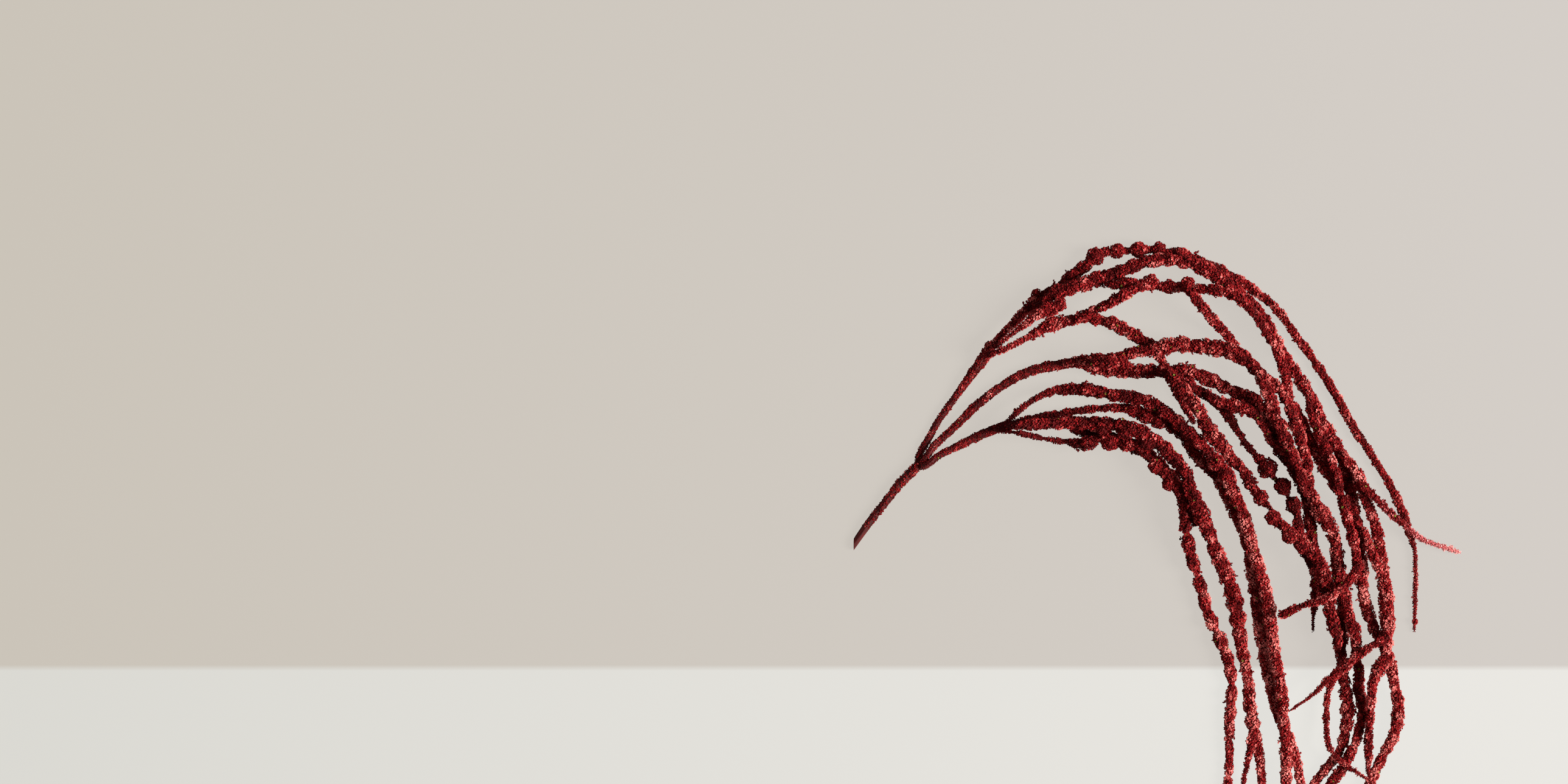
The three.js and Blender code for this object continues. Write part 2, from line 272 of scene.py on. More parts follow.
for name in STEMS[1:]:
    lines[name]["radius"] = np.maximum(lines[name]["radius"] + BRANCH_EXTRA, BRANCH_LEAST)
for name, (first, last, girth) in THINNED.items():
    line = lines[name]
    share = line["at"] / line["at"][-1]
    inside = np.clip(np.minimum(share - first, last - share) / THINNING_FADE, 0, 1)
    line["radius"] *= 1 - (1 - girth) * inside
print("thinnest:", round(min(line["radius"].min() for line in lines.values()) / MM, 2), "mm in radius")

# %% [markdown]
# ## Lumps of flowers
#
# On a living tassel the flowers sit in glomerules, so its outline swells and pinches every
# few millimetres. A noise texture would swell it too, but without the round heads. Here each
# glomerule is a point on the strand, set on a golden-angle spiral as real plants set theirs,
# and the swelling at any place is the tallest of the domes around those points. Where two
# domes meet there is a sharp crease, as there is between two balls.

# %% Points on a spiral
GOLDEN_ANGLE = math.pi * (3 - math.sqrt(5))
SPIRAL_SCATTER = 0.22


def spiral_points(line, spacing, rng, start):
    """Points spread evenly over a strand: each one takes the same share of its skin, whose area
    up to a distance is the sum of girth times length, and turns on by the golden angle. Then
    each one strays a little, by a share of the spacing."""
    steps = np.diff(line["at"], prepend=0)
    area = np.cumsum(2 * np.pi * line["radius"] * steps * (line["at"] >= start))
    count = max(3, int(area[-1] / spacing**2))
    at = np.interp((np.arange(count) + 0.5) / count * area[-1], area, line["at"])
    turn = np.arange(count) * GOLDEN_ANGLE
    radius = along_line(line, "radius", at)
    at = at + rng.normal(0, SPIRAL_SCATTER * spacing, count)
    turn = turn + rng.normal(0, SPIRAL_SCATTER * spacing, count) / radius
    return np.clip(at, start, line["at"][-1]), turn


print("golden angle:", round(math.degrees(GOLDEN_ANGLE), 1), "degrees")

# %% Heads, beads and swelling
# A head's height, and its width as a share of the spacing, the least and the most.
HEAD_TALL = (0.35, 1.0)
HEAD_WIDE = (0.6, 0.95)
HEAD_TINT_SPREAD = 0.13
BEAD_STRIDE = (0.7, 1.3)
BATCH = 2048


def make_heads(line, spacing, pitch, rng, start):
    """The glomerules of a strand: where each one is, how tall and how wide its dome is, and its
    tint. Beads are the places, about a pitch apart, where the whole strand is at its thickest."""
    at, turn = spiral_points(line, spacing, rng, start)
    count = int(line["at"][-1] / pitch) + 2
    beads = np.cumsum(rng.uniform(*BEAD_STRIDE, count) * pitch)
    return {
        "at": at,
        "turn": turn,
        "tall": rng.uniform(*HEAD_TALL, len(at)),
        "wide": spacing * rng.uniform(*HEAD_WIDE, len(at)),
        "tint": rng.normal(0, HEAD_TINT_SPREAD, len(at)),
        "beads": beads - 0.5 * pitch,
        "bead_wide": 0.5 * pitch,
    }


def swelling(line, at, turn, heads):
    """For each place on a strand: which head is highest there, and how high. A head's height is
    its own, times one minus the square of the distance over its width, and never below zero.
    Places go in batches, which keeps the table of places by heads small."""
    radius = along_line(line, "radius", at)
    height = np.zeros(len(at))
    which = np.zeros(len(at), int)
    for first in range(0, len(at), BATCH):
        rows = slice(first, first + BATCH)
        apart = at[rows, None] - heads["at"]
        round_it = (turn[rows, None] - heads["turn"] + np.pi) % (2 * np.pi) - np.pi
        squared = apart**2 + (radius[rows, None] * round_it) ** 2
        domes = heads["tall"] * (1 - squared / heads["wide"] ** 2)
        which[rows] = domes.argmax(1)
        height[rows] = domes.max(1)
    return which, np.clip(height, 0, 1)


def bead_share(at, heads, depth):
    """How thick the strand is at each place, as a share: one at a bead, and less between beads,
    where it falls as a circle does, down to one minus the depth."""
    apart = np.abs(at[:, None] - heads["beads"]).min(1) / heads["bead_wide"]
    return 1 - depth * (1 - np.sqrt(np.clip(1 - apart**2, 0, 1)))


trial_heads = make_heads(lines["crest_tassel"], 5 * MM, 7 * MM, np.random.default_rng(1), 0.0)
print("heads on a tassel of", round(lines["crest_tassel"]["at"][-1] / MM), "mm:", len(trial_heads["at"]))

# %% [markdown]
# ## From arrays to a mesh
#
# Every piece is worked out as whole arrays, so one helper turns them into a mesh. It takes
# corners, triangles and a map. `foreach_set` copies each array in one go, which is far
# quicker than adding a hundred thousand faces one by one.

# %% Mesh helpers
def build_mesh(name, corners, triangles, uv, material):
    """A mesh object at the origin from corners (n, 3), triangles (m, 3) and a map (n, 2)."""
    mesh = bpy.data.meshes.new(name)
    mesh.vertices.add(len(corners))
    mesh.vertices.foreach_set("co", corners.astype(np.float32).ravel())
    mesh.loops.add(triangles.size)
    mesh.loops.foreach_set("vertex_index", triangles.astype(np.int32).ravel())
    mesh.polygons.add(len(triangles))
    mesh.polygons.foreach_set("loop_start", np.arange(0, triangles.size, 3, dtype=np.int32))
    mesh.update(calc_edges=True)
    layer = mesh.uv_layers.new(name="OFBake")
    layer.data.foreach_set("uv", uv[triangles.ravel()].astype(np.float32).ravel())
    mesh.polygons.foreach_set("use_smooth", np.zeros(len(triangles), bool))
    mesh.materials.append(material)
    piece = bpy.data.objects.new(name, mesh)
    bpy.context.scene.collection.objects.link(piece)
    return piece


def tube_triangles(rows, sides):
    """Triangles of a closed tube: rows of sides corners each, then one pole for each end."""
    row = np.arange(rows - 1)[:, None] * sides
    side = np.arange(sides)[None, :]
    turned = (side + 1) % sides
    a, b = (row + side).ravel(), (row + turned).ravel()
    walls = np.vstack([np.column_stack([a, b, b + sides]), np.column_stack([a, b + sides, a + sides])])
    side, turned = side.ravel(), turned.ravel()
    start = np.column_stack([np.full(sides, rows * sides), turned, side])
    last = (rows - 1) * sides
    end = np.column_stack([np.full(sides, rows * sides + 1), last + side, last + turned])
    return np.vstack([walls, start, end])


def around(sides):
    """The turns of a ring's corners: equal parts of a whole turn."""
    return np.arange(sides) * 2 * np.pi / sides


def on_strand(line, at, turn, out):
    """Places on a strand: its middle, plus side times cosine and across times sine of the turn,
    times how far out they are."""
    side, across = along_line(line, "side", at), along_line(line, "across", at)
    normal = unit(side * np.cos(turn)[:, None] + across * np.sin(turn)[:, None])
    return along_line(line, "middle", at) + normal * out[:, None], normal


print("a tube of ten rings of twenty:", len(tube_triangles(10, 20)), "triangles")

# %% [markdown]
# ## Colours that follow the flower
#
# A flower is painted wine red in its heart, as the shade in its hollow, and is paler towards
# its papery tips, and no two are quite alike. Painting that in space would need a pattern finer
# than the flowers. Instead the map carries it: across the map runs the flower's own tint, and
# up the map runs how far a place is from the heart to the tip. One node group turns the two
# into a colour, and each material gives the group its own three reds.

# %% Shader group for the flowers' colour
# Where on the scale of tints a flower is all dark, all middle, all pale, and turns green.
DARK_TINT, MIDDLE_TINT, PALE_TINT, GREEN_TINT = 0.05, 0.45, 0.88, 0.93
# Where the heart's shade ends and the tip's colour is reached, as shares of the height.
HEART_UP, TIP_UP = 0.1, 0.8
HEART_ROUGHNESS, TIP_ROUGHNESS = 0.9, 0.62


def add_socket(group, name, kind, into=True, value=None):
    """One named input or output of a node group."""
    socket = group.interface.new_socket(name=name, in_out="INPUT" if into else "OUTPUT", socket_type=kind)
    if value is not None:
        socket.default_value = value


def make_petal_group():
    """Colour of a papery flower from its tint and its height. The tint runs from dark through
    middle to pale, with green past the last step, and the heart is darkened with painted shade."""
    group = bpy.data.node_groups.new("flower_colour", "ShaderNodeTree")
    for name in ("Dark", "Middle", "Pale", "Green"):
        add_socket(group, name, "NodeSocketColor", value=(0.5, 0.5, 0.5, 1))
    add_socket(group, "Heart shade", "NodeSocketFloat", value=0.3)
    add_socket(group, "Colour", "NodeSocketColor", into=False)
    add_socket(group, "Roughness", "NodeSocketFloat", into=False)
    nodes, links = group.nodes, group.links
    inputs, outputs = nodes.new("NodeGroupInput"), nodes.new("NodeGroupOutput")
    uv_map = nodes.new("ShaderNodeUVMap")
    uv_map.uv_map = "OFBake"
    split = nodes.new("ShaderNodeSeparateXYZ")
    links.new(uv_map.outputs["UV"], split.inputs[0])

    def ranged(value, low, high, to_low=0.0, to_high=1.0):
        """The value's place between low and high, carried over to between the other two."""
        node = nodes.new("ShaderNodeMapRange")
        for socket, number in zip(("From Min", "From Max", "To Min", "To Max"), (low, high, to_low, to_high)):
            node.inputs[socket].default_value = number
        links.new(value, node.inputs["Value"])
        return node.outputs["Result"]

    def mixed(factor, first, second):
        """The first colour turning into the second as the factor goes from zero to one."""
        node = nodes.new("ShaderNodeMix")
        node.data_type = "RGBA"
        links.new(factor, node.inputs[0])
        links.new(first, node.inputs[6])
        links.new(second, node.inputs[7])
        return node.outputs[2]

    tint, height = split.outputs["X"], split.outputs["Y"]
    colour = mixed(ranged(tint, DARK_TINT, MIDDLE_TINT), inputs.outputs["Dark"], inputs.outputs["Middle"])
    colour = mixed(ranged(tint, MIDDLE_TINT, PALE_TINT), colour, inputs.outputs["Pale"])
    colour = mixed(ranged(tint, GREEN_TINT, GREEN_TINT + 0.01), colour, inputs.outputs["Green"])
    heart = mixed(inputs.outputs["Heart shade"], colour, inputs.outputs["Dark"])
    links.new(mixed(ranged(height, HEART_UP, TIP_UP), heart, colour), outputs.inputs["Colour"])
    links.new(ranged(height, 0.0, 1.0, HEART_ROUGHNESS, TIP_ROUGHNESS), outputs.inputs["Roughness"])
    return group


PETALS = make_petal_group()
print("flower colour group:", len(PETALS.nodes), "nodes")

# %% Shader group for fine grain
def make_grain_group():
    """Fine crumpled grain: noise in space, 25 bumps to the centimetre and finer ones on them,
    as a normal."""
    group = bpy.data.node_groups.new("papery_grain", "ShaderNodeTree")
    add_socket(group, "Scale", "NodeSocketFloat", value=2500)
    add_socket(group, "Strength", "NodeSocketFloat", value=0.2)
    add_socket(group, "Normal", "NodeSocketVector", into=False)
    nodes, links = group.nodes, group.links
    inputs, outputs = nodes.new("NodeGroupInput"), nodes.new("NodeGroupOutput")
    place, noise, bump = (nodes.new("ShaderNode" + kind) for kind in ("TexCoord", "TexNoise", "Bump"))
    links.new(place.outputs["Object"], noise.inputs["Vector"])
    links.new(inputs.outputs["Scale"], noise.inputs["Scale"])
    links.new(inputs.outputs["Strength"], bump.inputs["Strength"])
    links.new(noise.outputs["Fac"], bump.inputs["Height"])
    bump.inputs["Distance"].default_value = 0.1 * MM
    links.new(bump.outputs["Normal"], outputs.inputs["Normal"])
    return group


GRAIN = make_grain_group()
print("grain group:", len(GRAIN.nodes), "nodes")

# %% Flower materials
def srgb(red, green, blue):
    """Display colour, 0 to 255, as the linear colour that shaders use: each channel, as a share
    of 255, plus 0.055 over 1.055, to the power 2.4."""
    return tuple(((channel / 255 + 0.055) / 1.055) ** 2.4 for channel in (red, green, blue)) + (1.0,)


def start_material(name):
    """A new material and its Principled shader."""
    material = bpy.data.materials.new(name)
    material.use_nodes = True
    return material, material.node_tree, material.node_tree.nodes["Principled BSDF"]


def use_group(tree, group, **values):
    """A node group placed in a material, with these values on its inputs. A space in an input's
    name is written here as an underscore."""
    node = tree.nodes.new("ShaderNodeGroup")
    node.node_tree = group
    for name, value in values.items():
        node.inputs[name.replace("_", " ")].default_value = value
    return node


def flower_material(name, dark, middle, pale, heart_shade):
    """Papery flowers in three reds and a rare green, with hardly any shine, as dry petals have."""
    material, tree, shader = start_material(name)
    petal = use_group(tree, PETALS, Dark=dark, Middle=middle, Pale=pale, Heart_shade=heart_shade)
    petal.inputs["Green"].default_value = srgb(120, 125, 50)
    tree.links.new(petal.outputs["Colour"], shader.inputs["Base Color"])
    tree.links.new(petal.outputs["Roughness"], shader.inputs["Roughness"])
    tree.links.new(use_group(tree, GRAIN).outputs["Normal"], shader.inputs["Normal"])
    shader.inputs["Specular IOR Level"].default_value = 0.1
    return material


CRIMSON = flower_material("crimson_flowers", srgb(78, 8, 10), srgb(150, 26, 29), srgb(238, 134, 127), 0.8)
# The wine red is the crimson a little darker: painted shade for the middle tassels.
SHADED_CRIMSON = flower_material("wine_flowers", srgb(70, 7, 8), srgb(140, 23, 26), srgb(226, 120, 113), 0.8)
SALMON = flower_material("salmon_flowers", srgb(112, 18, 20), srgb(208, 106, 108), srgb(242, 166, 162), 0.4)
print("flower materials:", CRIMSON.name, SHADED_CRIMSON.name, SALMON.name)

# %% [markdown]
# ## One flower, many times
#
# An amaranth flower is a seed capsule in a cup of five pointed tepals. It is modelled once as
# twelve corners: a base, a ring of five, a wider ring of five tips, and the bud sunk between
# them. Instancing would be the usual way to repeat it, but then every flower would be the
# same. Copying the corners as an array lets each flower push its own tepals out, and it is
# still only twenty triangles.

# %% The flower
TEPALS = 5
FLOWER_RADIUS = 0.64 * MM
RING = np.arange(TEPALS)
NEXT = (RING + 1) % TEPALS
LOWER_TURN = RING * 2 * math.pi / TEPALS
UPPER_TURN = (RING + 0.5) * 2 * math.pi / TEPALS


def two_rings(lower, upper, ends):
    """One number for each corner of the flower: the lower ring, the upper ring, base and bud."""
    return np.concatenate([np.full(TEPALS, lower), np.full(TEPALS, upper), ends])


# How far out and up each corner is, in flower radii, and how far up the map.
FLOWER_TURN = np.concatenate([LOWER_TURN, UPPER_TURN, [0, 0]])
FLOWER_OUT = two_rings(0.8, 1.0, [0, 0])
FLOWER_UP = two_rings(-0.15, 0.75, [-0.65, 0.45])
# Low on the map the heart's painted shade is strongest: the base, the lower ring and the sunk bud.
FLOWER_MAP_UP = two_rings(0.3, 1.0, [0.0, 0.55])
BASE, BUD = 2 * TEPALS, 2 * TEPALS + 1
FLOWER_FACES = np.vstack([
    np.column_stack([NEXT, RING, np.full(TEPALS, BASE)]),
    np.column_stack([RING, NEXT, TEPALS + RING]),
    np.column_stack([TEPALS + RING, NEXT, TEPALS + NEXT]),
    np.column_stack([TEPALS + RING, TEPALS + NEXT, np.full(TEPALS, BUD)]),
])
print("one flower:", len(FLOWER_FACES), "triangles")

# %% Copies of a small shape
FORWARD_LEAN = 0.25
# Each corner's own shares of its way out and up, the least and the most.
PUSH_OUT = (0.65, 1.35)
PUSH_UP = (0.5, 1.5)
MAP_WIDTH = 0.012


def turned_axes(normal, along, rng, lean):
    """Three axes for each copy: up leans from the normal by a random amount, and the other two
    are spun around it by a random turn."""
    up = unit(normal + FORWARD_LEAN * along + rng.normal(0, lean, normal.shape))
    first = unit(np.cross(up, along + 0.01))
    second = np.cross(up, first)
    spin = rng.uniform(0, 2 * np.pi, (len(up), 1))
    return first * np.cos(spin) + second * np.sin(spin), second * np.cos(spin) - first * np.sin(spin), up


def place_copies(centres, axes, x, y, z):
    """Corners of many copies: each one's own x, y and z, measured along its three axes."""
    first, second, up = axes
    return (centres[:, None] + x[..., None] * first[:, None] + y[..., None] * second[:, None]
            + z[..., None] * up[:, None])


def flower_corners(centres, axes, size, rng):
    """Twelve corners for each flower: its radius times the model's, each corner pushed out and
    up by its own random share."""
    shape = (len(centres), len(FLOWER_OUT))
    out = size[:, None] * FLOWER_OUT * rng.uniform(*PUSH_OUT, shape)
    rise = size[:, None] * FLOWER_UP * rng.uniform(*PUSH_UP, shape)
    return place_copies(centres, axes, out * np.cos(FLOWER_TURN), out * np.sin(FLOWER_TURN), rise)


def copies_to_mesh(corners, faces, tint, map_up):
    """Flat arrays for many copies: corners, triangles and the map. Each copy's corners spread a
    little across the map, so that its triangles have some width there."""
    count, each = corners.shape[:2]
    triangles = (np.arange(count)[:, None, None] * each + faces[None]).reshape(-1, 3)
    wide = MAP_WIDTH * np.cos(np.arange(each) * 2.0)
    uv = np.stack([tint[:, None] + wide[None], np.broadcast_to(map_up, (count, each))], axis=-1)
    return corners.reshape(-1, 3), triangles, uv.reshape(-1, 2)


print("corners in each copy of the flower:", len(FLOWER_OUT))

# %% [markdown]
# ## Bracts
#
# Between the flowers stand narrow pointed bracts, which roughen a tassel's outline. Hair
# curves would do for a close-up, but they have no solid shape. A bract here is a small
# three-sided spindle, so it is solid and costs six triangles.

# %% The bract
BRACT_SIDES = 3
# The least and the most, in millimetres.
BRACT_RADIUS = (0.2, 0.34)
# The ring and the root, as shares of the length from the surface to the point.
BRACT_RING_UP, BRACT_ROOT_DOWN = 0.35, 0.4
BRACT_RING = np.arange(BRACT_SIDES)
BRACT_NEXT = (BRACT_RING + 1) % BRACT_SIDES
BRACT_TURN = BRACT_RING * 2 * math.pi / BRACT_SIDES
# A bract's root sits low on the map, so it is painted dark as shade where it meets the strand.
BRACT_MAP_UP = np.concatenate([np.full(BRACT_SIDES, 0.5), [0.1, 0.95]])
BRACT_FACES = np.vstack([
    np.column_stack([BRACT_RING, BRACT_NEXT, np.full(BRACT_SIDES, BRACT_SIDES + 1)]),
    np.column_stack([BRACT_NEXT, BRACT_RING, np.full(BRACT_SIDES, BRACT_SIDES)]),
])


def bract_corners(centres, axes, length, rng):
    """Five corners for each bract: a ring a third of the way up, the root and the point."""
    count = len(centres)
    wide = rng.uniform(*BRACT_RADIUS, count)[:, None] * MM
    x = np.column_stack([wide * np.cos(BRACT_TURN), np.zeros((count, 2))])
    y = np.column_stack([wide * np.sin(BRACT_TURN), np.zeros((count, 2))])
    ring_up = np.repeat(BRACT_RING_UP * length[:, None], BRACT_SIDES, 1)
    z = np.column_stack([ring_up, -BRACT_ROOT_DOWN * length, length])
    return place_copies(centres, axes, x, y, z)


print("one bract:", len(BRACT_FACES), "triangles")

# %% [markdown]
# ## How each strand looks
#
# The strands are built alike, but no two look alike, so each has a few numbers of its own.
# They could be drawn at random, but a tassel in deep shade or with a bare thread belongs in
# one place. A strand without its own row is plain.
#
# - tone moves its tints along the material's reds, from a first value at the root towards a
#   last value at the tip, and settles is the share of the length where that change stops. Tone
#   is partly a tassel's own and partly painted light and shade.
# - blush is one paler place: where it is, how wide it is, both as shares of the length, and
#   how much paler.
# - heads is how far apart the lumps are and pitch how far apart the beads, in millimetres,
#   and depth is how deeply the strand is pinched between beads.
# - rise is how far out the flowers sit in a crease, and how much further on top of a lump,
#   as shares of the strand's radius.
# - ragged is how many side shoots it has and size how large its flowers are, against a plain
#   tassel, and cover is the share of its flowers that are there.

# %% Looks
PLAIN = {
    "tone": (0.0, 0.0), "settles": 1.0, "blush": (0.0, 1.0, 0.0), "heads": 4.8, "pitch": 7.0, "depth": 0.26,
    "rise": (0.63, 0.56), "ragged": 1.0, "size": 1.0, "cover": 1.0,
}
# The lower tassels are painted shade at their roots and painted light towards their tips, where their flanks
# face the sun. The lower second tassel is painted paler over the shadow that the lower outer one casts on it,
# and the shaded crest tassel is painted darker as shade.
LOOKS = {
    "crest_tassel": {"tone": (-0.1, 0.04), "heads": 5.5, "pitch": 12.0, "depth": 0.4},
    "beaded_crest_tassel": {"tone": (-0.06, 0.0), "heads": 5.0, "pitch": 9.0, "depth": 0.4},
    "inner_crest_tassel": {"tone": (-0.1, 0.1), "blush": (0.912, 0.02, 0.4), "heads": 5.4},
    "crest_shaded_tassel": {"tone": (-0.12, -0.12)},
    "lower_outer_tassel": {"tone": (-0.36, 0.78), "settles": 0.46, "heads": 5.4},
    "lower_second_tassel": {"tone": (-0.38, 0.86), "settles": 0.5, "heads": 5.4},
    "lower_inner_tassel": {"tone": (-0.38, 0.4), "settles": 0.7, "pitch": 10.5, "depth": 0.62},
    "lower_third_tassel": {"tone": (-0.4, 0.5), "settles": 0.7},
    "lower_short_tassel": {"tone": (-0.28, -0.24)},
    "pink_spike": {"tone": (-0.95, 0.55), "heads": 2.6, "pitch": 3.4, "depth": 0.35},
    "right_tassel": {"tone": (0.08, 0.28)},
    "right_short_tassel": {"tone": (0.05, 0.2)},
    "loop_tassel": {"tone": (0.0, 0.15), "pitch": 8.0, "depth": 0.4},
    "side_tassel": {"tone": (0.0, 0.15)},
    "middle_side_tassel": {"tone": (0.0, 0.1), "ragged": 2.0},
    "middle_inner_tassel": {"ragged": 2.0},
    "middle_outer_tassel": {"tone": (0.0, 0.12), "ragged": 2.0},
    "middle_beaded_tassel": {"tone": (-0.2, -0.2), "heads": 5.4, "pitch": 9.5, "depth": 0.4, "ragged": 2.0},
    "middle_under_tassel": {"ragged": 2.5},
    "middle_cluster_tassel": {"tone": (-0.08, -0.02), "ragged": 2.0},
}
print("tassels with looks of their own:", len(LOOKS))

# %% Tones and tints
TINT_MIDDLE = 0.37
TINT_SPREAD = 0.09
TINT_LEAST = 0.02
GREEN_SHARE = 0.0025
FRESH_TINT = 0.97


def tone_at(at, line, looks):
    """How pale a strand is along its length: from its first tone towards its last, as far as
    the place where it settles, plus a blush that fades as a bell curve does."""
    first, last = looks["tone"]
    place, width, amount = looks["blush"]
    share = np.minimum(at / line["at"][-1], looks["settles"])
    return first + (last - first) * share + amount * np.exp(-(((share - place) / width) ** 2))


def petal_tint(base, rng):
    """Each flower's tint: a base, a random part, and now and then a fresh green one."""
    tint = np.clip(TINT_MIDDLE + base + rng.normal(0, TINT_SPREAD, len(base)), TINT_LEAST, PALE_TINT)
    tint[rng.uniform(size=len(base)) < GREEN_SHARE] = FRESH_TINT
    return tint


tip = lines["crest_tassel"]["at"][-1:]
tone = tone_at(tip, lines["crest_tassel"], {**PLAIN, **LOOKS["crest_tassel"]})
print("the crest tassel's tone at its tip:", round(tone[0], 3))

# %% [markdown]
# ## Dressing a strand
#
# A dressed strand is one mesh of a lumpy body that fills the spaces between the flowers,
# the flowers themselves, the bracts, and a few sprigs: small side shoots of a dozen flowers
# that break the outline. The body alone could carry a bump texture, and from far away it
# would pass, but its outline would stay smooth. With real flowers the outline is right from
# every side. Where the strand lies on the table the lowest flowers are lifted just enough
# to lie on it.

# %% The body under the flowers
BODY_STEP = 0.9 * MM
BODY_SIDES = 20
BODY_END = 2 * MM
# Shares of the strand's radius: the body in a crease, and what a dome adds. The last is the
# share of those two that is left at the very ends.
BODY_CREASE, BODY_RISE, BODY_TIP = 0.5, 0.48, 0.3
# The body's low tint is painted shade: it is the dark between the flowers. Its streaks run around the strand.
BODY_SHADE_TINT, BODY_STREAKS = 0.15, 0.1
TABLE_GAP = 0.05 * MM


def lift_off_table(corners):
    """Each copy is raised by however much its lowest corner is below the table."""
    lowest = corners[..., 2].min(axis=1)
    corners[..., 2] += np.maximum(TABLE_GAP - lowest, 0)[:, None]
    return corners


def strand_body(line, heads, start, looks):
    """Lumpy closed tube: its radius is a share of the strand's, plus the swelling of its heads,
    and it narrows to a round end over two millimetres at either end."""
    length = line["at"][-1]
    rows = max(4, int((length - start) / BODY_STEP))
    row_at = np.linspace(start, length, rows)
    at, turn = (grid.ravel() for grid in np.meshgrid(row_at, around(BODY_SIDES), indexing="ij"))
    dome = swelling(line, at, turn, heads)[1]
    ends = np.clip(np.minimum(at - start, length - at) / BODY_END, 0, 1)
    lumpy = (BODY_CREASE + BODY_RISE * dome) * bead_share(at, heads, looks["depth"])
    share = lumpy * (BODY_TIP + (1 - BODY_TIP) * np.sqrt(ends))
    corners = on_strand(line, at, turn, along_line(line, "radius", at) * share)[0]
    poles = along_line(line, "middle", np.array([start, length]))
    corners = np.vstack([corners, poles])
    corners[:, 2] = np.maximum(corners[:, 2], TABLE_GAP)
    # The body is painted dark wine, low on the tints and low on the map, as the shade between the flowers,
    # and darker still in the creases.
    tint = np.clip(BODY_SHADE_TINT + tone_at(at, line, looks) + BODY_STREAKS * np.sin(3 * turn), TINT_LEAST, 0.9)
    uv = np.vstack([np.column_stack([tint, 0.05 + 0.15 * dome]), [[0.2, 0.05], [0.2, 0.06]]])
    return corners, tube_triangles(rows, BODY_SIDES), uv


trial_body = strand_body(lines["crest_tassel"], trial_heads, 0.0, PLAIN)
print("a tassel's body:", len(trial_body[1]), "triangles")

# %% Flowers and bracts all over
FLOWER_SPACING = 1.18 * MM
FLOWER_SIZES = (0.65, 1.2)
FLOWER_STRAY = (0.92, 1.05)
FLOWER_LEAN = 0.4
# Strands slimmer than this radius carry smaller flowers or bracts, down to a least share.
FLOWER_FULL, FLOWER_LEAST = 2.2 * MM, 0.55
BRACT_FULL, BRACT_LEAST = 2.6 * MM, 0.6
BRACT_SPACING = 4.6 * MM
# The least and the most, in millimetres.
BRACT_LENGTH = (0.8, 1.5)
BRACT_LEAN = 0.5
# How much paler a flower is on top of the tallest lump than in the deepest crease: painted
# shade in the creases and painted light on the tops.
PAINTED_CREASE_SHADING = 0.6


def surface_share(at, dome, heads, looks):
    """How far out the flowers sit, as a share of the strand's radius: what they have in a
    crease, plus the rise times the dome, times the share of the beads."""
    crease, rise = looks["rise"]
    return (crease + rise * dome) * bead_share(at, heads, looks["depth"])


def strand_flowers(line, heads, start, looks, rng):
    """Flowers set on a spiral, thinned out to the strand's cover, pushed out where a head
    swells, and tinted by their head. Flowers in the creases between heads are painted darker as
    shade, and flowers on top of a head paler as painted light."""
    at, turn = spiral_points(line, FLOWER_SPACING * looks["size"], rng, start)
    kept = rng.uniform(size=len(at)) < looks["cover"]
    at, turn = at[kept], turn[kept]
    which, dome = swelling(line, at, turn, heads)
    radius = along_line(line, "radius", at)
    share = surface_share(at, dome, heads, looks) * rng.uniform(*FLOWER_STRAY, len(at))
    centres, normal = on_strand(line, at, turn, radius * share)
    slim = np.clip(radius / FLOWER_FULL, FLOWER_LEAST, 1)
    size = FLOWER_RADIUS * looks["size"] * slim * rng.uniform(*FLOWER_SIZES, len(at))
    axes = turned_axes(normal, along_line(line, "along", at), rng, FLOWER_LEAN)
    # The dome term is painted shade in the creases and painted light on top of the heads.
    base = tone_at(at, line, looks) + heads["tint"][which] + PAINTED_CREASE_SHADING * (dome - 0.5)
    tint = petal_tint(base, rng)
    return flower_corners(centres, axes, size, rng), FLOWER_FACES, tint, FLOWER_MAP_UP


def strand_bracts(line, heads, start, looks, rng):
    """Bracts on a wider spiral, standing out of the same surface."""
    at, turn = spiral_points(line, BRACT_SPACING, rng, start)
    dome = swelling(line, at, turn, heads)[1]
    radius = along_line(line, "radius", at)
    centres, normal = on_strand(line, at, turn, radius * surface_share(at, dome, heads, looks))
    axes = turned_axes(normal, along_line(line, "along", at), rng, BRACT_LEAN)
    slim = np.clip(radius / BRACT_FULL, BRACT_LEAST, 1)
    length = rng.uniform(*BRACT_LENGTH, len(at)) * MM * slim
    tint = petal_tint(tone_at(at, line, looks), rng)
    return bract_corners(centres, axes, length, rng), BRACT_FACES, tint, BRACT_MAP_UP


print("a flower every", FLOWER_SPACING / MM, "mm, a bract every", BRACT_SPACING / MM, "mm")

# %% Sprigs
SPRIG_EVERY = 8 * MM
SPRIG_FLOWERS = 12
# A sprig reaches a share of the strand's radius, which is held between a least and a most.
SPRIG_REACH = (0.35, 0.8)
SPRIG_RADII = (1.6 * MM, 4.5 * MM)
SPRIG_SIZES = (0.7, 1.1)
SPRIG_PLACES = (0.03, 0.97)
SPRIG_ROOT = 0.75
SPRIG_FORWARD, SPRIG_ASTRAY = 0.5, 0.3
SPRIG_LOOSE = 0.5 * MM
SPRIG_TAPER = 0.35
SPRIG_LEAN = 0.5
SPRIG_PALER, SPRIG_TONE_SPREAD = 0.03, 0.1


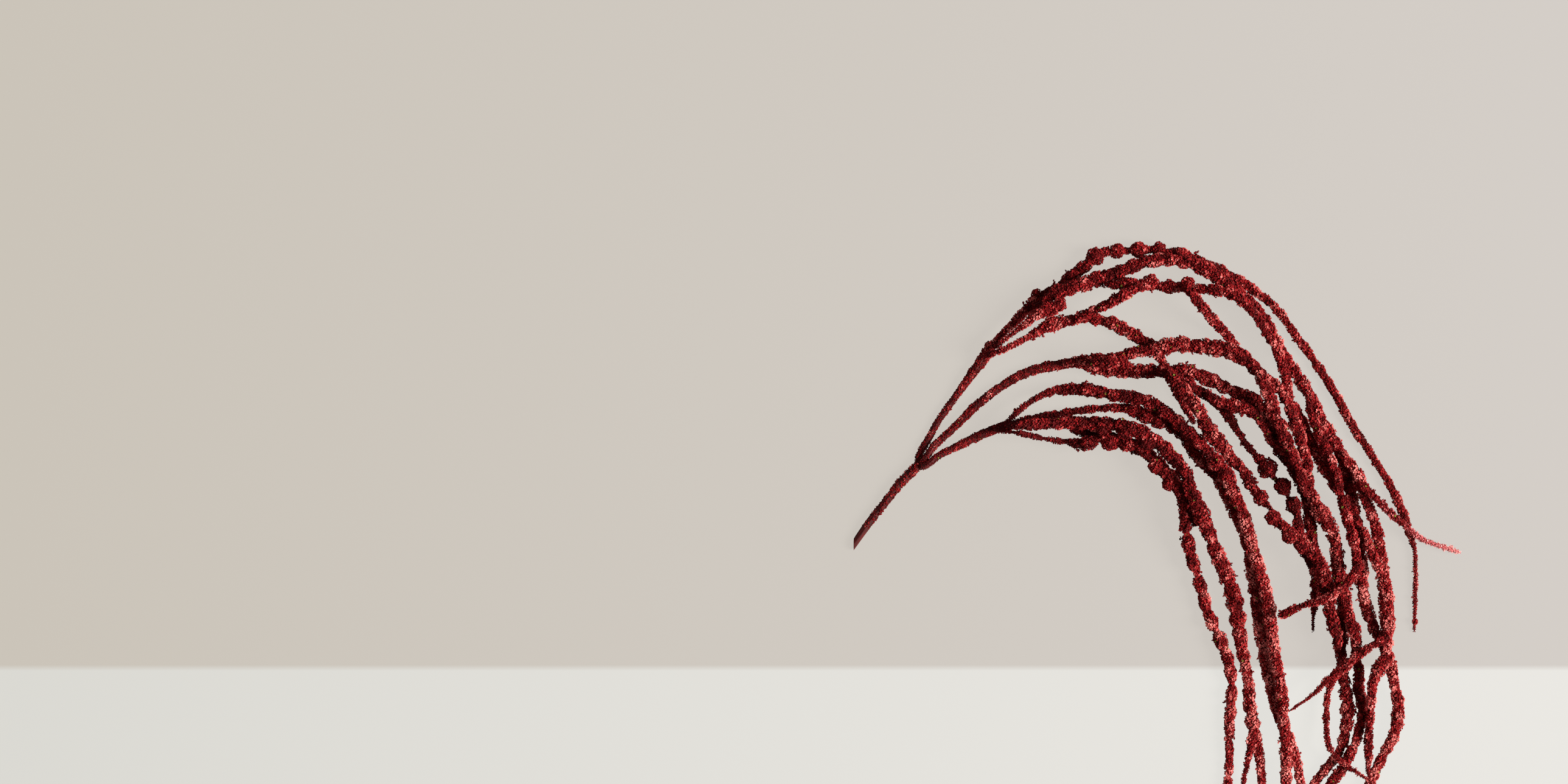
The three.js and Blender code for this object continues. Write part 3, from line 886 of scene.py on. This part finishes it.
def strand_sprigs(line, heads, start, looks, rng):
    """Side shoots: a dozen flowers along a short straight way out of the strand, which stand
    closer to that way and grow smaller towards its end. They take no notice of the heads."""
    length = line["at"][-1] - start
    count = max(2, int(length / SPRIG_EVERY * looks["ragged"]))
    at = start + length * rng.uniform(*SPRIG_PLACES, count)
    turn = rng.uniform(0, 2 * np.pi, count)
    radius = along_line(line, "radius", at)
    roots, normal = on_strand(line, at, turn, SPRIG_ROOT * radius)
    astray = rng.normal(0, SPRIG_ASTRAY, normal.shape)
    way = unit(normal + SPRIG_FORWARD * along_line(line, "along", at) + astray)
    reach = rng.uniform(*SPRIG_REACH, count) * np.clip(radius, *SPRIG_RADII)
    share = (np.arange(SPRIG_FLOWERS) + 0.5) / SPRIG_FLOWERS
    centres = roots[:, None] + way[:, None] * (reach[:, None] * share)[..., None]
    loose = SPRIG_LOOSE * (1.2 - share)[None, :, None]
    centres = (centres + rng.normal(0, 1, centres.shape) * loose).reshape(-1, 3)
    ways, normals = (np.repeat(rows, SPRIG_FLOWERS, 0) for rows in (way, normal))
    axes = turned_axes(ways, normals, rng, SPRIG_LEAN)
    slim = np.repeat(np.clip(radius / FLOWER_FULL, FLOWER_LEAST, 1), SPRIG_FLOWERS)
    slim *= looks["size"] * np.tile(1.0 - SPRIG_TAPER * share, count)
    size = FLOWER_RADIUS * slim * rng.uniform(*SPRIG_SIZES, len(centres))
    tone = tone_at(at, line, looks) + rng.normal(SPRIG_PALER, SPRIG_TONE_SPREAD, count)
    tint = petal_tint(np.repeat(tone, SPRIG_FLOWERS), rng)
    return flower_corners(centres, axes, size, rng), FLOWER_FACES, tint, FLOWER_MAP_UP


print("a plain tassel has a sprig of", SPRIG_FLOWERS, "flowers every", SPRIG_EVERY / MM, "mm")

# %% [markdown]
# ## Clumps
#
# In places a tassel carries a ball of flowers much thicker than itself, or a knot that sits
# to one side of it. Wider heads would swell the whole strand there, so a clump is a small
# sphere of flowers of its own, put on the strand one by one: at a share of its length, so far
# aside from its middle, and with a radius, the last two in millimetres.

# %% Clumps of flowers
CLUMPS = {
    "crest_tassel": [(0.115, 3.2, 2.9), (0.213, 0.6, 5.0), (0.229, 0.6, 2.8), (0.245, 0.0, 4.2),
                     (0.275, -0.4, 4.8), (0.304, 1.0, 4.0), (0.336, -0.6, 4.4), (0.985, 0.2, 1.6)],
    "beaded_crest_tassel": [(0.123, 2.0, 4.4), (0.166, 0.3, 4.1), (0.206, 1.6, 4.2)],
    "crest_underside_tassel": [(0.322, 0.5, 4.6), (0.476, -0.3, 3.4), (0.535, 0.9, 3.9)],
    "crest_thin_tassel": [(0.8, 0.5, 4.2), (0.95, 0.2, 3.8)],
    "middle_beaded_tassel": [(0.586, -0.4, 5.6), (0.674, 0.1, 4.9), (0.754, 0.1, 4.6), (0.9, -1.5, 4.2)],
    "middle_cluster_tassel": [(0.495, 0.4, 4.2), (0.576, -0.8, 4.3), (0.641, -1.1, 5.0), (0.69, -1.9, 4.4)],
    "middle_outer_tassel": [(0.482, 0.4, 4.8)],
    "lower_third_tassel": [(0.187, -2.5, 4.2), (0.222, -2.7, 4.6), (0.26, -3.0, 4.6)],
    "lower_inner_tassel": [(0.224, -1.1, 4.4), (0.271, 1.5, 4.4), (0.31, -1.6, 4.0), (0.345, -2.0, 4.0)],
    "lower_second_tassel": [(0.193, -1.0, 3.6), (0.213, -1.0, 4.4), (0.232, -0.8, 4.6)],
    "lower_short_tassel": [(0.92, 2.2, 3.6)],
}
# Shares of a clump's radius: where its flowers sit, how much they stray from there, its body,
# the ball that its flowers are counted for, and its lumps.
CLUMP_OUT = 0.88
CLUMP_STRAY = (0.93, 1.04)
CLUMP_BODY = 0.78
CLUMP_COVER = 0.85
CLUMP_LUMPS, CLUMP_WAVES = 0.14, 5
# How much a clump's tint strays at random, and how much its flowers are painted darker as shade in the
# hollows between its lumps and paler as light on the lumps.
CLUMP_TINT_SPREAD, CLUMP_PAINTED_SHADING = 0.07, 1.2
BALL_ROWS, BALL_SIDES, BALL_TILT = 7, 10, 1.2


def clump_body(centre, size):
    """Plain ball as a closed tube: rings from one tilt to the other, their radius the cosine of
    the tilt and their height its sine, and a pole at each end. Its map is a small patch."""
    tilts = np.linspace(-BALL_TILT, BALL_TILT, BALL_ROWS)
    tilt, spin = np.meshgrid(tilts, around(BALL_SIDES), indexing="ij")
    ball = np.stack([np.cos(tilt) * np.cos(spin), np.cos(tilt) * np.sin(spin), np.sin(tilt)], -1)
    ball = np.vstack([ball.reshape(-1, 3), [[0, 0, -1], [0, 0, 1]]])
    number = np.arange(len(ball))
    # The map puts the ball at a dark tint, low on the map, so it is painted dark as the shade inside the
    # clump.
    uv = np.column_stack([0.2 + 0.02 * np.cos(number), 0.05 + 0.001 * number])
    return centre + size * ball, tube_triangles(BALL_ROWS, BALL_SIDES), uv


def clump(line, share, aside, radius, looks, rng):
    """A ball of flowers at a share of the strand's length and some way aside from its middle:
    directions evenly over the sphere on a golden-angle spiral, with a round body inside. Two
    sines of the direction multiplied make it lumpy, from a start that no other clump has."""
    at = np.array([share * line["at"][-1]])
    centre = along_line(line, "middle", at) + along_line(line, "side", at) * aside * MM
    size = radius * MM
    centre[:, 2] = np.maximum(centre[:, 2], size + TABLE_GAP)
    count = int(4 * np.pi * (CLUMP_COVER * size / FLOWER_SPACING) ** 2)
    rise = 1 - (2 * np.arange(count) + 1) / count
    turn = np.arange(count) * GOLDEN_ANGLE
    flat = np.sqrt(1 - rise**2)
    way = np.column_stack([flat * np.cos(turn), flat * np.sin(turn), rise])
    waves = np.sin(CLUMP_WAVES * way[:, 0] + share * 50)
    lumpy = 1 + CLUMP_LUMPS * waves * np.sin(CLUMP_WAVES * way[:, 1] + radius)
    out = (CLUMP_OUT * size * lumpy * rng.uniform(*CLUMP_STRAY, count))[:, None]
    axes = turned_axes(way, way, rng, FLOWER_LEAN)
    tone = tone_at(at, line, looks) + rng.normal(0, CLUMP_TINT_SPREAD)
    # Flowers sunk between the lumps are painted darker as shade, and those on the lumps paler as light.
    tint = petal_tint(tone + CLUMP_PAINTED_SHADING * (lumpy - 1), rng)
    sizes = FLOWER_RADIUS * rng.uniform(*FLOWER_SIZES, count)
    corners = lift_off_table(flower_corners(centre + way * out, axes, sizes, rng))
    flowers = copies_to_mesh(corners, FLOWER_FACES, tint, FLOWER_MAP_UP)
    return [flowers, clump_body(centre, CLUMP_BODY * size)]


print("clumps:", sum(len(rows) for rows in CLUMPS.values()))

# %% Put a strand together
def join_arrays(parts):
    """Several (corners, triangles, map) as one, with the triangles' numbers moved on."""
    corners, triangles, maps = zip(*parts)
    offsets = np.cumsum([0] + [len(part) for part in corners[:-1]])
    triangles = [part + offset for part, offset in zip(triangles, offsets)]
    return np.vstack(corners), np.vstack(triangles), np.vstack(maps)


def dress(name, line, material, looks, seed, start=0.0, body=True):
    """One mesh of flowers, bracts, sprigs, clumps and, if wanted, the body under them."""
    rng = np.random.default_rng(seed)
    heads = make_heads(line, looks["heads"] * MM, looks["pitch"] * MM, rng, start)
    kinds = (strand_flowers, strand_bracts, strand_sprigs)
    crumbs = [kind(line, heads, start, looks, rng) for kind in kinds]
    parts = [copies_to_mesh(lift_off_table(crumb[0]), *crumb[1:]) for crumb in crumbs]
    for share, aside, radius in CLUMPS.get(name, ()):
        parts += clump(line, share, aside, radius, looks, rng)
    if body:
        parts.append(strand_body(line, heads, start, looks))
    corners, triangles, uv = join_arrays(parts)
    return build_mesh(name + "_flowers", corners, triangles, uv, material)


# %% [markdown]
# ## The tassels
#
# The tassels differ in colour: the ones in the middle hang in each other's shade and are wine
# red, which is the crimson a little darker and deeper as painted shade, the outer ones are
# crimson, and one young spike is salmon pink. One material for all would need a tone for each,
# but the three kinds differ in more than how pale they are, so each kind has its own material.

# %% Build the tassels
TASSEL_SEED = 100


def finish_of(name):
    """The material and the record's slot of a tassel's flowers."""
    if name == "pink_spike":
        return SALMON, "salmon_flowers"
    # The middle tassels get the crimson darkened as painted shade.
    if name.startswith("middle"):
        return SHADED_CRIMSON, "wine_flowers"
    return CRIMSON, "crimson_flowers"


triangle_counts = {}
for number, name in enumerate(CARRIERS):
    if name in STEMS:
        continue
    material, slot_name = finish_of(name)
    looks = {**PLAIN, **LOOKS.get(name, {})}
    tassel = dress(name, lines[name], material, looks, TASSEL_SEED + number)
    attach(tassel, "root")
    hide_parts(name)
    triangle_counts[name] = len(tassel.data.polygons)
print("tassels:", sum(triangle_counts.values()), "triangles, at most", max(triangle_counts.values()))

# %% [markdown]
# ## Stem and branches
#
# The stem and its branches are woody and ribbed, and small flowers sit on them as well,
# except on the lowest stretch of the stem, which is bare. The ribs could be a bump, but they
# show on the outline of the cut end, so they are in the shape: the radius gains a small
# cosine that repeats around the stem. The end is cut on the slant. Its first rings are
# sheared along the stem until the end lies in one upright plane.

# %% Bark and pith
def noise_colours(name, source, low, high):
    """A material coloured by noise through a ramp of two colours, with its tree, its shader,
    the node of the source that says where a place is, the noise and the ramp."""
    material, tree, shader = start_material(name)
    kinds = (source, "TexNoise", "ValToRGB")
    place, noise, ramp = (tree.nodes.new("ShaderNode" + kind) for kind in kinds)
    tree.links.new(noise.outputs["Fac"], ramp.inputs["Fac"])
    tree.links.new(ramp.outputs["Color"], shader.inputs["Base Color"])
    for element, colour in zip(ramp.color_ramp.elements, (low, high)):
        element.color = colour
    return material, tree, shader, place, noise, ramp


def bark_material(name):
    """Dark red-brown bark: long streaks of lighter and darker red, from noise stretched along
    the piece's own map, under the faint grain of dry skin."""
    dark, light = srgb(40, 9, 8), srgb(92, 24, 23)
    material, tree, shader, uv_map, noise, ramp = noise_colours(name, "UVMap", dark, light)
    uv_map.uv_map = "OFBake"
    stretch = tree.nodes.new("ShaderNodeMapping")
    stretch.inputs["Scale"].default_value = (9, 2.5, 1)
    noise.inputs["Scale"].default_value = 3
    noise.inputs["Detail"].default_value = 6
    tree.links.new(uv_map.outputs["UV"], stretch.inputs["Vector"])
    tree.links.new(stretch.outputs["Vector"], noise.inputs["Vector"])
    ramp.color_ramp.elements[0].position = 0.35
    ramp.color_ramp.elements[1].position = 0.7
    grain = use_group(tree, GRAIN, Scale=1600, Strength=0.35)
    tree.links.new(grain.outputs["Normal"], shader.inputs["Normal"])
    shader.inputs["Roughness"].default_value = 0.6
    shader.inputs["Specular IOR Level"].default_value = 0.15
    return material


def pith_material(name):
    """Pale pith of a fresh cut: cream, flecked with the ends of its strings."""
    dark, light = srgb(150, 96, 84), srgb(206, 170, 146)
    material, tree, shader, place, noise, ramp = noise_colours(name, "TexCoord", dark, light)
    noise.inputs["Scale"].default_value = 2500
    tree.links.new(place.outputs["Object"], noise.inputs["Vector"])
    tree.links.new(use_group(tree, GRAIN).outputs["Normal"], shader.inputs["Normal"])
    shader.inputs["Roughness"].default_value = 0.8
    return material


BARK = bark_material("bark")
PITH = pith_material("pith")
print("stem materials:", BARK.name, PITH.name)

# %% Shape of a stem
STEM_STEP = 0.8 * MM
STEM_SIDES = 40
RIBS = 8
RIB_HEIGHT = 0.035
WAVES, WAVE_HEIGHT, WAVE_TWIST = 3, 0.02, 0.15
CUT_SHEAR_LENGTH = 5 * MM
UNDER_FLOWERS = 0.84
SLIM_LENGTH = 8 * MM


def stem_piece(name, line, flowers_from, cut):
    """Ribbed closed tube. Its radius is the strand's times one plus a small cosine of the turn
    for the ribs and a smaller sine that twists along the stem, and it shrinks to a share of
    that where the flowers begin. A cut end is sheared along the stem into an upright plane."""
    rows = int(line["at"][-1] / STEM_STEP)
    row_at = np.linspace(0, line["at"][-1], rows)
    at, turn = (grid.ravel() for grid in np.meshgrid(row_at, around(STEM_SIDES), indexing="ij"))
    waves = WAVE_HEIGHT * np.sin(WAVES * turn + WAVE_TWIST * at / MM)
    ribs = 1 + RIB_HEIGHT * np.cos(RIBS * turn) + waves
    slim = 1 - (1 - UNDER_FLOWERS) * np.clip((at - flowers_from) / SLIM_LENGTH, 0, 1)
    corners = on_strand(line, at, turn, along_line(line, "radius", at) * slim * ribs)[0]
    poles = along_line(line, "middle", np.array([0, line["at"][-1]]))
    uv = np.column_stack([turn / (2 * np.pi), 0.1 + 0.9 * at / line["at"][-1]])
    if cut:
        along = line["along"][0]
        slide = (poles[0, 0] - corners[:STEM_SIDES, 0]) / along[0]
        fade = np.clip(1 - at / CUT_SHEAR_LENGTH, 0, 1)
        corners += (np.tile(slide, rows) * fade)[:, None] * along
    corners = np.vstack([corners, poles])
    corners[:, 2] = np.maximum(corners[:, 2], TABLE_GAP)
    uv = np.vstack([uv, [[0.5, 0.05], [0.5, 1.0]]])
    piece = build_mesh(name, corners, tube_triangles(rows, STEM_SIDES), uv, BARK)
    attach(piece, "root")
    return piece


print("ribs around a stem:", RIBS, "on", STEM_SIDES, "sides")

# %% Shape of the cut
# The disc's rings: how far out, as shares of the stem's radius, and how far into the stem, in
# millimetres. It starts inside the stem and stands just out of the cut, most at its rim.
PITH_OUT = (0.72, 0.72, 0.4)
PITH_IN = (0.3, -0.12, -0.05)
PITH_POLES_IN = (0.3, -0.02)


def cut_face(line):
    """Disc of pith on the cut, a little dished: three rings and two poles, each slid along the
    stem to the upright plane of the cut and then on by its depth. The rings run out of the
    stem, against the line, so the triangles are turned round."""
    along = line["along"][0]
    turn = np.tile(around(STEM_SIDES), 3)
    out = np.repeat(PITH_OUT, STEM_SIDES)
    depth = np.repeat(PITH_IN, STEM_SIDES) * MM
    corners = on_strand(line, np.zeros(len(turn)), turn, out * line["radius"][0])[0]
    middle = line["middle"][0]
    corners += ((middle[0] - corners[:, 0]) / along[0] + depth)[:, None] * along
    poles = np.array([middle + depth * MM * along for depth in PITH_POLES_IN])
    triangles = tube_triangles(3, STEM_SIDES)
    uv = np.column_stack([0.5 + 0.4 * out * np.cos(turn), 0.5 + 0.4 * out * np.sin(turn)])
    uv = np.vstack([uv, [[0.5, 0.49], [0.5, 0.5]]])
    piece = build_mesh("cut_face", np.vstack([corners, poles]), triangles[:, ::-1], uv, PITH)
    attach(piece, "root")
    return piece


print("the pith reaches", PITH_OUT[0], "of the stem's radius")

# %% Build the stem and branches
STEM_SEED = 50
FLOWERS_START = 0.2
STEM_LOOKS = {
    **PLAIN, "tone": (-0.2, -0.1), "heads": 3.6, "pitch": 6.0, "depth": 0.12, "rise": (0.8, 0.3),
    "ragged": 0.4, "size": 0.72, "cover": 0.9,
}
MAIN_STEM_COVER = 0.55

for number, name in enumerate(STEMS):
    line = lines[name]
    is_stem = name == "main_stem"
    start = FLOWERS_START * line["at"][-1] if is_stem else 0.0
    stem = stem_piece(name + "_bark", line, start if is_stem else -SLIM_LENGTH, is_stem)
    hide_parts(name)
    looks = {**STEM_LOOKS, "cover": MAIN_STEM_COVER} if is_stem else STEM_LOOKS
    flowers = dress(name, line, CRIMSON, looks, STEM_SEED + number, start, body=False)
    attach(flowers, "root")
    print(name, len(stem.data.polygons), "triangles of bark,", len(flowers.data.polygons), "of flowers")
cut_face(lines["main_stem"])

# %% [markdown]
# ## Table
#
# The spray lies on plain pale paper, in two tones that meet in a soft edge, each painted a
# little paler towards the light, as the light would fall. Plain paper would catch dark shadows,
# so, seen by the camera, it is mostly glow, as a light table is, and shadows on it are faint.
# To every other ray it is plain grey paper, so its glow doesn't light the tassels from below.

# %% Table
TABLE_HALF = 4.0
# Where the paper starts and stops being painted paler towards the light, from left to right,
# and where its edge is.
PALER_FROM, PALER_TO = -0.63, 0.22
EDGE_FROM, EDGE_TO = -0.0347, -0.0315
NEAR_PAPER = srgb(218, 217, 211), srgb(235, 233, 228)
FAR_PAPER = srgb(201, 194, 183), srgb(211, 205, 199)
GLOW_SHARE = 0.93


def table_material(name):
    """Paper that is part glow: each tone is graded along x, the two are graded into each other
    along y, and the glow's share counts only for rays from the camera."""
    material, tree, shader = start_material(name)
    place, split, glow, path, share, blend = (
        tree.nodes.new("ShaderNode" + kind)
        for kind in ("TexCoord", "SeparateXYZ", "Emission", "LightPath", "Math", "MixShader")
    )
    tree.links.new(place.outputs["Object"], split.inputs[0])

    def graded(axis, low, high, first, second):
        """One colour turning into another between two places on an axis."""
        ramp, mix = tree.nodes.new("ShaderNodeMapRange"), tree.nodes.new("ShaderNodeMix")
        mix.data_type = "RGBA"
        tree.links.new(split.outputs[axis], ramp.inputs["Value"])
        ramp.inputs["From Min"].default_value = low
        ramp.inputs["From Max"].default_value = high
        tree.links.new(ramp.outputs["Result"], mix.inputs[0])
        for socket, colour in ((mix.inputs[6], first), (mix.inputs[7], second)):
            if isinstance(colour, tuple):
                socket.default_value = colour
            else:
                tree.links.new(colour, socket)
        return mix.outputs[2]

    # The grade along x paints the paper paler towards the light.
    near = graded("X", PALER_FROM, PALER_TO, *NEAR_PAPER)
    far = graded("X", PALER_FROM, PALER_TO, *FAR_PAPER)
    tree.links.new(graded("Y", EDGE_FROM, EDGE_TO, near, far), glow.inputs["Color"])
    share.operation = "MULTIPLY"
    share.inputs[1].default_value = GLOW_SHARE
    tree.links.new(path.outputs["Is Camera Ray"], share.inputs[0])
    tree.links.new(share.outputs["Value"], blend.inputs["Fac"])
    tree.links.new(shader.outputs["BSDF"], blend.inputs[1])
    tree.links.new(glow.outputs["Emission"], blend.inputs[2])
    tree.links.new(blend.outputs["Shader"], tree.nodes["Material Output"].inputs["Surface"])
    shader.inputs["Base Color"].default_value = (0.5, 0.48, 0.45, 1)
    shader.inputs["Roughness"].default_value = 0.9
    shader.inputs["Specular IOR Level"].default_value = 0.1
    return material


corners = [(-TABLE_HALF, -TABLE_HALF, 0), (TABLE_HALF, -TABLE_HALF, 0),
           (TABLE_HALF, TABLE_HALF, 0), (-TABLE_HALF, TABLE_HALF, 0)]
table_mesh = bpy.data.meshes.new("table")
table_mesh.from_pydata(corners, [], [(0, 1, 2, 3)])
table_mesh.materials.append(table_material("table_paper"))
table = bpy.data.objects.new("table", table_mesh)
bpy.context.scene.collection.objects.link(table)
print("table:", 2 * TABLE_HALF, "m square")

# %% [markdown]
# ## Light
#
# A broad sun from the right, low enough to rake across the tassels, lights their right flanks
# and leaves the left ones deep red. A brighter sky would flatten that, so it stays weak.

# %% Light
sun_data = bpy.data.lights.new("raking_sun", "SUN")
sun_data.energy = 7.3
sun_data.angle = math.radians(30)
sun_data.color = (1.0, 0.97, 0.93)
sun = bpy.data.objects.new("raking_sun", sun_data)
sun.rotation_euler = (math.radians(6), math.radians(55), 0)
bpy.context.scene.collection.objects.link(sun)

world = bpy.data.worlds.new("soft_studio")
world.use_nodes = True
sky = world.node_tree.nodes["Background"]
sky.inputs["Color"].default_value = (1.0, 0.98, 0.96, 1)
sky.inputs["Strength"].default_value = 0.21
bpy.context.scene.world = world
bpy.context.scene.view_settings.view_transform = "Standard"
print("the sun stands", round(90 - math.degrees(sun.rotation_euler.y)), "degrees above the table")

# %% [markdown]
# ## Camera
#
# The spray lies flat, so the camera looks straight down on it. A short lens close by would
# show the sides of the outer tassels, so it stands well above with a long lens. The lens
# follows from how much of the table is seen: the sensor's width is to the lens as the
# view's width, at the strands' middle height, is to the distance from there.

# %% Camera
VIEW_WIDTH = 0.8587
VIEW_MIDDLE = (-0.2043, 0.1183)
CAMERA_HEIGHT = 4.0
STRAND_HEIGHT = 0.009
camera_data = bpy.data.cameras.new("camera")
camera_data.sensor_width = 36
camera_data.lens = camera_data.sensor_width * (CAMERA_HEIGHT - STRAND_HEIGHT) / VIEW_WIDTH
camera_data.clip_end = 50
camera = bpy.data.objects.new("camera", camera_data)
camera.location = (*VIEW_MIDDLE, CAMERA_HEIGHT)
bpy.context.scene.collection.objects.link(camera)
bpy.context.scene.camera = camera
print("lens:", round(camera_data.lens, 1), "mm")
